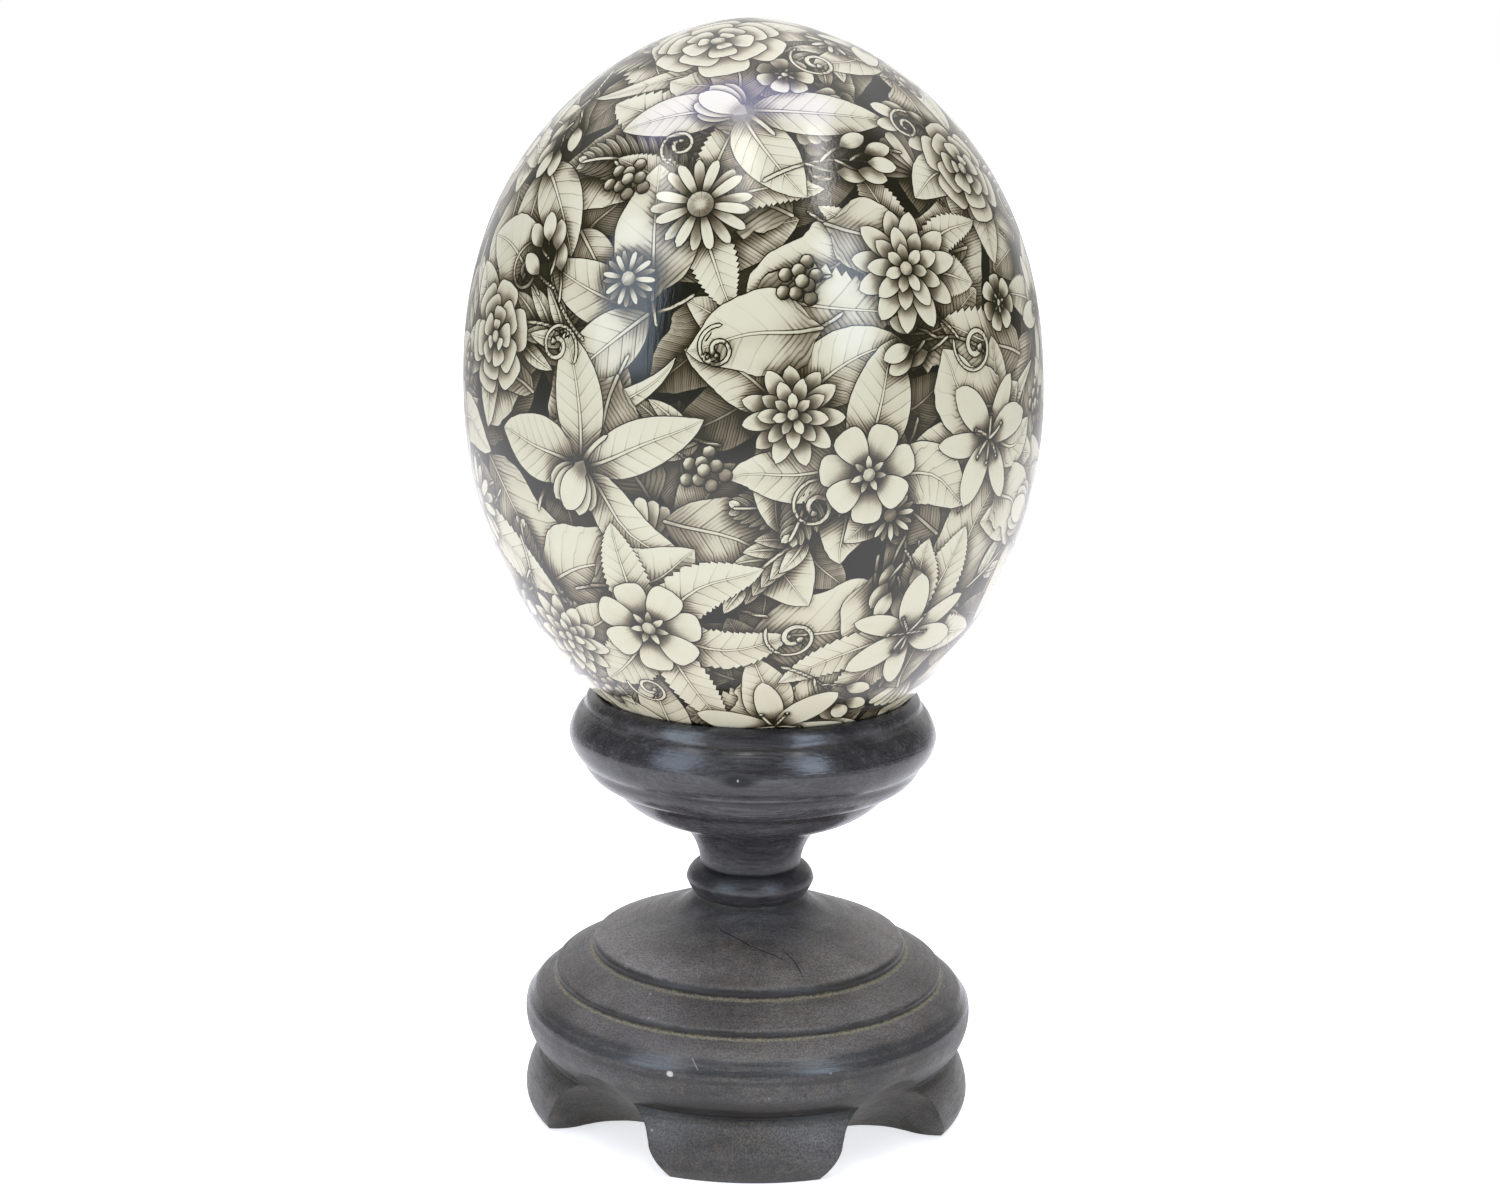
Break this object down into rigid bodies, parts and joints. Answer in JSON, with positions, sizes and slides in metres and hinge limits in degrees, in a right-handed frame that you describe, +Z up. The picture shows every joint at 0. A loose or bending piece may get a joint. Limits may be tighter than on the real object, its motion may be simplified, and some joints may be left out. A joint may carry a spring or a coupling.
{
  "type": "painted ostrich egg on turned stand",
  "caption": "Blunt oval ostrich egg with an all-over painted surface, resting upright in the cup of a short turned wooden stand with arched feet.",
  "frame": {"origin": "on the table, on the axis of the stand; the egg leans 2.1 degrees, so the middle of the whole box is 1.2 mm towards -X", "axes": "+Z up along the stand's axis; -Y to the front, where one foot faces; +X to the right as seen from the front"},
  "size_m": [0.1301, 0.13, 0.2506],
  "materials": {
    "painted_shell": "ivory eggshell painted all over in sepia and near-black, under clear gloss lacquer",
    "dark_wood": "black-brown stain, worn satin, with dust in its grooves"
  },
  "bodies": {
    "root": {"egg": "painted_shell", "stand": "dark_wood"}
  },
  "joints": []
}
